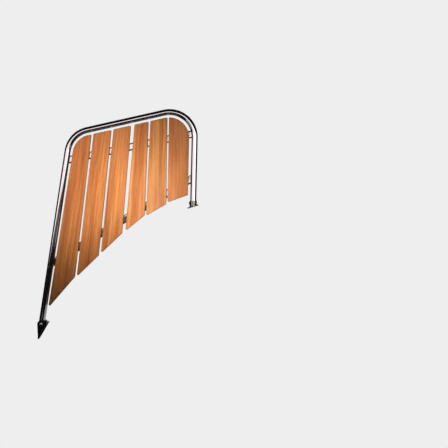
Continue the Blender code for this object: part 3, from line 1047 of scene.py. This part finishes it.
def make_bar(name, node):
    line = bar_line(node)
    depth = middle_of(node).y
    ends = [in_plane(meet(line, leg), depth) for leg in (UP_FRONT_LEG, DOWN_AFT_LEG)]
    bar = drawn(name, ends, bar_section())
    body = bmesh.new()
    body.from_mesh(bar.data)
    bmesh.ops.holes_fill(body, edges=body.edges)
    bmesh.ops.recalc_face_normals(body, faces=body.faces)
    bar.data = mesh_of(body, name)
    cut(bar, tube_cutter())
    finished(bar, polished, "rail", "tube_and_bars", node)


def weld_path(node, leg):
    """Round a bar's end where it meets a leg, on the tube's surface."""
    middle, along = bar_line(node)
    depth = middle_of(node).y
    inward = right_of(leg[1])
    if along.dot(inward) < 0:
        along = -along
    points = []
    for thick, high in bar_section():
        spot = middle + right_of(along) * high
        off_axis = math.sqrt(TUBE_RADIUS**2 - (depth + thick) ** 2)
        spot += along * ((off_axis - (spot - leg[0]).dot(inward)) / along.dot(inward))
        points.append(in_plane(spot, depth + thick))
    return points


def make_welds():
    body = bmesh.new()
    for node in BAR_SLOPES:
        for leg in (UP_FRONT_LEG, DOWN_AFT_LEG):
            corners = [body.verts.new(point) for point in weld_path(node, leg)]
            for i, corner in enumerate(corners):
                body.edges.new((corners[i - 1], corner))
    welds = grown(
        "bar_welds",
        mesh_of(body, "joints"),
        bead,
        bead_radius=WELD_RADIUS,
        pitch=WELD_PITCH,
        dip=WELD_DIP,
        finish=weld,
    )
    finished(welds, weld, "rail", "tube_and_bars")


# Slats and screws


def front_outline(node):
    """The corners of a slat's front face, in order, and the face's depth."""
    corners = [corner.co for corner in frame["nodes"][node].data.vertices]
    front_y = min(corner.y for corner in corners)
    face = {corner.to_tuple(6) for corner in corners if corner.y < front_y + MERGE}
    points = [flat(corner) for corner in sorted(face)]
    return [in_plane(points[i], front_y) for i in convex_hull_2d(points)]


def rounded_corners(outline, radius):
    """The outline with an arc in place of every corner that turns sharply."""
    arcs = {}
    befores, afters = outline[-1:] + outline[:-1], outline[1:] + outline[:1]
    for before, corner, after in zip(befores, outline, afters):
        inward, outward = (corner - before).normalized(), (after - corner).normalized()
        turn = inward.angle(outward)
        if turn > SLAT_CORNER_TURN:
            reach = radius * math.tan(turn / 2)
            centre = corner + (outward - inward).normalized() * radius / math.cos(turn / 2)
            spoke = corner - inward * reach - centre
            axis = inward.cross(outward)
            steps = range(SLAT_CORNER_STEPS + 1)
            turns = [Matrix.Rotation(turn * i / SLAT_CORNER_STEPS, 3, axis) for i in steps]
            arcs[corner.freeze()] = reach, [centre + turned @ spoke for turned in turns]
    made = []
    for corner in outline:
        if corner.freeze() in arcs:
            made += arcs[corner][1]
        elif all((corner - sharp).length > reach for sharp, (reach, _) in arcs.items()):
            made.append(corner)
    return made


def lean_of(outline):
    """The board's lean from the vertical, the mean of its two long edges'."""
    sides = [end - start for start, end in zip(outline, outline[1:] + outline[:1])]
    longest = sorted(sides, key=lambda side: side.length)[-2:]
    return sum(math.atan(side.x / side.z) for side in longest) / 2


def make_slats():
    log = random.Random(11)
    low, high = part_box("slat_1")
    for number in range(1, SLAT_COUNT + 1):
        node = f"slat_{number}"
        outline = front_outline(node)
        middle = middle_of(node)
        lean = lean_of(outline)
        rounded = rounded_corners(outline, SLAT_CORNER)
        body = bmesh.new()
        face = body.faces.new([body.verts.new(point) for point in rounded])
        face.normal_update()
        if face.normal.y < 0:  # the tree leaves this side of the face inside the board
            face.normal_flip()
        # The pith lies behind the board and well to one side of its middle.
        upright = Matrix.Rotation(-lean, 3, "Y") @ middle
        pith = (
            upright.x + log.choice((-1, 1)) * log.uniform(0.06, 0.12),
            log.uniform(0.05, 0.11),
            upright.z + log.uniform(-3.0, 3.0),
        )
        slat = grown(
            f"teak_slat_{number}",
            mesh_of(body, node),
            board,
            thickness=high.y - low.y,
            lean=-lean,
            log_place=pith,
            tint=linear(SLAT_TINTS[number - 1])[:3],
            finish=teak,
        )
        eased(slat, SLAT_EDGE)
        finished(slat, teak, "rail", "teak", node)


def screw_head():
    """A pan-head screw about local Z, its head's seat at Z = 0, with a cross recess."""
    top = SCREW_HEAD_HEIGHT
    dome = [
        (SCREW_HEAD_RADIUS * math.sin(angle), top * (0.45 + 0.55 * math.cos(angle)))
        for angle in (
            math.radians(90 * i / SCREW_DOME_STEPS) for i in range(SCREW_DOME_STEPS + 1)
        )
    ]
    profile = [
        *dome,
        (SCREW_HEAD_RADIUS * 0.97, 0),
        (SCREW_RADIUS, 0),
        (SCREW_RADIUS, SCREW_RADIUS - SCREW_LENGTH),
        (0, -SCREW_LENGTH),
    ]
    screw = new_piece("screw", turned_mesh(profile, SCREW_SIDES))
    for turn in (0, math.pi / 2):
        slot = prism_mesh([Vector(corner) for corner in CROSS_ARM], top * 0.25, top * 2)
        slot.transform(Matrix.Rotation(turn, 4, "Z"))
        cut(screw, slot)
    keep_own_place(screw.data)
    return smoothed(screw)


def make_slat_screws():
    nodes = [
        f"slat_{slat}_screw_{screw}"
        for slat in range(1, SLAT_COUNT + 1)
        for screw in range(1, SCREWS_PER_SLAT + 1)
    ]
    bar_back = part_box("upper_bar")[1].y
    spots = [Vector((middle_of(node).x, bar_back + AIR, middle_of(node).z)) for node in nodes]
    body = bmesh.new()
    for spot in spots:
        body.verts.new(spot)
    pattern = screw_head()
    screws = grown(
        "slat_screws", mesh_of(body, "screw_places"), driven, screw=pattern, seed=5, finish=steel
    )
    bpy.data.objects.remove(pattern)
    finished(screws, steel, "rail", "fasteners", *nodes)


# Feet


def make_castings():
    bracket = eased(merged_copy("front_foot_casting", "front_foot_bracket"), CAST_EDGE)
    finished(bracket, cast, "front_foot", "foot_castings", "front_foot_bracket")
    base = eased(merged_copy("aft_foot_casting", "aft_foot_base"), CAST_EDGE)
    finished(base, cast, "rail", "foot_castings", "aft_foot_base")


def turned_piece(name, profile, axis, bored=False, cutters=()):
    piece = new_piece(name, turned_mesh(profile, TURNED_SIDES, bored))
    for cutter in cutters:
        cut(piece, cutter)
    keep_own_place(piece.data)
    piece.data.transform(axis)
    return piece


def make_bolt():
    low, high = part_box("front_foot_bolt")
    seat = low.y + BOLT_DOME + BOLT_RIM
    dome = [
        (BOLT_HEAD_RADIUS * math.sin(angle), low.y + BOLT_DOME * (1 - math.cos(angle)))
        for angle in (
            math.radians(90 * i / BOLT_DOME_STEPS) for i in range(BOLT_DOME_STEPS, -1, -1)
        )
    ]
    thread = []
    reach = high.y - THREAD_LEAD
    while reach > high.y - THREAD_LENGTH:
        root = (BOLT_RADIUS * THREAD_ROOT, reach - THREAD_PITCH / 2)
        thread += [(BOLT_RADIUS, reach), root]
        reach -= THREAD_PITCH
    profile = [
        (0, high.y),
        (BOLT_RADIUS * 0.85, high.y),
        *thread,
        (BOLT_RADIUS, reach),
        (BOLT_RADIUS, seat),
        (BOLT_HEAD_RADIUS, seat),
        *dome,
    ]
    key = prism_mesh(hexagon(BOLT_KEY), low.y - PAST, low.y + BOLT_KEY_DEPTH)
    bolt = turned_piece("pivot_bolt", profile, BOLT_AXIS, cutters=[key])
    finished(bolt, steel, "front_foot", "fasteners", "front_foot_bolt")


def make_washer(name, node):
    low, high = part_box(node)
    outer = (high.x - low.x) / 2
    bore = BOLT_RADIUS + AIR
    profile = [
        (bore, high.y),
        (outer - WASHER_RIM, high.y),
        (outer, high.y - WASHER_RIM),
        (outer, low.y + WASHER_RIM),
        (outer - WASHER_RIM, low.y),
        (bore, low.y),
    ]
    washer = turned_piece(name, profile, BOLT_AXIS, bored=True)
    finished(washer, steel, "front_foot", "fasteners", node)


def make_nut():
    """A lock nut: a hexagon chamfered at its seat, with a rounded collar that grips the thread."""
    low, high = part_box("front_foot_nut")
    corner = NUT_ACROSS_CORNERS / 2
    flats = corner * math.cos(math.pi / 6)
    bore = BOLT_RADIUS + AIR
    shoulder = high.y - NUT_COLLAR
    profile = [
        (bore, high.y),
        (flats * 0.80, high.y),
        (flats * 0.90, high.y - 0.0005),
        (flats * 0.94, shoulder),
        (flats, shoulder),
        (corner + AIR, shoulder - 0.0008),
        (corner + AIR, low.y + 0.0007),
        (flats * 0.98, low.y),
        (bore, low.y),
    ]
    nut = new_piece("lock_nut", turned_mesh(profile, TURNED_SIDES, bored=True))
    cut(nut, prism_mesh(hexagon(flats * 2), low.y - 0.001, high.y + 0.001), "INTERSECT")
    keep_own_place(nut.data)
    nut.data.transform(BOLT_AXIS)
    finished(nut, steel, "front_foot", "fasteners", "front_foot_nut")


def make_plug():
    plug = eased(merged_copy("tube_end_plug", "front_leg_end_plug"), PLUG_EDGE)
    finished(plug, nylon, "rail", "end_plug", "front_leg_end_plug")


def make_set_screws():
    for number in (1, 2):
        node = f"aft_foot_set_screw_{number}"
        middle = middle_of(node)
        along_leg = in_plane(-DOWN_AFT_LEG[1])
        outward = middle - along_leg * middle.dot(along_leg)
        start = outward.length - SET_SCREW_LENGTH / 2
        end = start + SET_SCREW_LENGTH
        tip_radius = SET_SCREW_RADIUS - SET_SCREW_CHAMFER
        axis = facing(outward, along_leg * middle.dot(along_leg))
        profile = [
            (0, end),
            (tip_radius, end),
            (SET_SCREW_RADIUS, end - SET_SCREW_CHAMFER),
            (SET_SCREW_RADIUS, start + SET_SCREW_CHAMFER),
            (tip_radius, start),
            (0, start),
        ]
        key = prism_mesh(hexagon(SET_SCREW_KEY), start + SET_SCREW_LENGTH / 2, end + PAST)
        screw = turned_piece(f"grub_screw_{number}", profile, axis, cutters=[key])
        finished(screw, steel, "rail", "fasteners", node)


# Studio


def make_camera():
    lens = bpy.data.cameras.new("camera")
    lens.lens = LENS
    lens.sensor_width = SENSOR_WIDTH
    camera = bpy.data.objects.new("camera", lens)
    camera.location = CAMERA_PLACE
    camera.rotation_euler = (math.pi / 2, 0, 0)
    bpy.context.scene.collection.objects.link(camera)
    bpy.context.scene.camera = camera


def make_world():
    """A pale ground for the eye, and a dim studio for what the metal and the wood see."""
    world = bpy.data.worlds.new("studio")
    bpy.context.scene.world = world
    world.use_nodes = True
    tree = world.node_tree
    tree.nodes.clear()
    ray = add_node(tree, "ShaderNodeLightPath")
    seen = add_node(
        tree, "ShaderNodeBackground", fed={"Color": linear(GROUND_COLOUR), "Strength": 1.0}
    )
    dark = add_node(
        tree, "ShaderNodeBackground", fed={"Color": linear("#141213"), "Strength": 1.0}
    )
    dim = add_node(
        tree, "ShaderNodeBackground", fed={"Color": linear("#FFFFFF"), "Strength": 0.01}
    )
    lit = add_node(
        tree,
        "ShaderNodeMixShader",
        fed={0: ray.outputs["Is Glossy Ray"], 1: dim, 2: dark},
    )
    shown = add_node(
        tree, "ShaderNodeMixShader", fed={0: ray.outputs["Is Camera Ray"], 1: lit, 2: seen}
    )
    add_node(tree, "ShaderNodeOutputWorld", fed={"Surface": shown})


def make_floor():
    """A plain pale floor, just clear of the lower foot's tip."""
    lowest = cad_box[0].z
    body = bmesh.new()
    bmesh.ops.create_grid(body, x_segments=1, y_segments=1, size=FLOOR_REACH)
    floor = new_piece("floor", mesh_of(body, "floor"))
    floor.location = (0, 0, lowest - FLOOR_DROP)
    pale = bpy.data.materials.new("pale_floor")
    pale.use_nodes = True
    tree = pale.node_tree
    tree.nodes.clear()
    glow = add_node(
        tree, "ShaderNodeEmission", fed={"Color": linear(GROUND_COLOUR), "Strength": 1.0}
    )
    add_node(tree, "ShaderNodeOutputMaterial", fed={"Surface": glow})
    floor.data.materials.append(pale)
    floor.visible_diffuse = False
    floor.visible_glossy = False
    floor.visible_shadow = False


def make_light(name, middle, towards, size, radiance, seen_by, colour="#FFFFFF"):
    """A soft rectangular light at middle, facing towards, that only some surfaces see."""
    light = bpy.data.lights.new(name, "AREA")
    light.shape = "RECTANGLE"
    light.size, light.size_y = size
    light.energy = radiance * math.pi * size[0] * size[1]
    light.color = linear(colour)[:3]
    holder = bpy.data.objects.new(name, light)
    holder.location = middle
    holder.rotation_euler = Vector(towards).to_track_quat("-Z", "Y").to_euler()
    holder.visible_camera = False
    holder.visible_diffuse = seen_by == "diffuse"
    holder.visible_glossy = seen_by == "glossy"
    bpy.context.scene.collection.objects.link(holder)


def make_lights():
    """The metal sees softboxes before and behind the rail, and cards above and below it.

    The wood has its own lights, so that neither upsets the other.
    """
    back, up, front, down_front = (0, 1, 0), (0, 0, 1), (0, -1, 0), (0, -1, -1)
    make_light("left_softbox", (-1.93, -2.0, 0.475), back, (3.60, 0.85), 1.5, "glossy", "#FBF0F4")
    make_light("right_softbox", (1.73, -2.0, 0.435), back, (3.60, 0.93), 1.9, "glossy")
    make_light("right_skirt", (1.35, -2.0, -0.14), back, (4.30, 0.22), 0.17, "glossy")
    make_light("back_softbox", (-0.3, 3.0, 0.90), front, (4.0, 1.8), 0.7, "glossy")
    make_light("high_back_card", (-0.3, 3.2, 2.8), down_front, (4.0, 1.2), 0.8, "glossy")
    make_light("left_floor_card", (-2.2, 0.0, -0.545), up, (2.2, 5.0), 0.40, "glossy")
    make_light("right_floor_card", (1.1, 1.07, -0.545), up, (3.2, 2.85), 0.40, "glossy")
    make_light("far_right_floor_card", (2.1, -1.43, -0.545), up, (1.2, 2.15), 0.40, "glossy")
    make_light("wood_light", (-0.374, -0.25, 0.105), back, (0.67, 0.44), 1.76, "diffuse", "#FFF8EC")
    make_light("low_light", (-0.162, -0.255, -0.009), back, (0.10, 0.28), 9.2, "diffuse", "#DCF2FF")
    make_light("back_fill", (-0.3, 1.5, 0.6), front, (1.6, 1.2), 3.0, "diffuse")


polished = mirror_polished_stainless()
weld = dressed_weld()
cast = buffed_casting()
steel = turned_fastener()
nylon = moulded_nylon()
teak = oiled_teak()

stock = stock_tree()
bead = weld_tree()
driven = screw_tree()
board = board_tree()

make_camera()
make_tube()
make_bar("upper_flat_bar", "upper_bar")
make_bar("lower_flat_bar", "lower_bar")
make_welds()
make_slats()
make_slat_screws()
make_castings()
make_bolt()
make_washer("bolt_washer", "front_foot_bolt_washer")
make_washer("nut_washer", "front_foot_nut_washer")
make_nut()
make_plug()
make_set_screws()

make_world()
make_floor()
make_lights()
bpy.context.scene.view_settings.view_transform = "Standard"
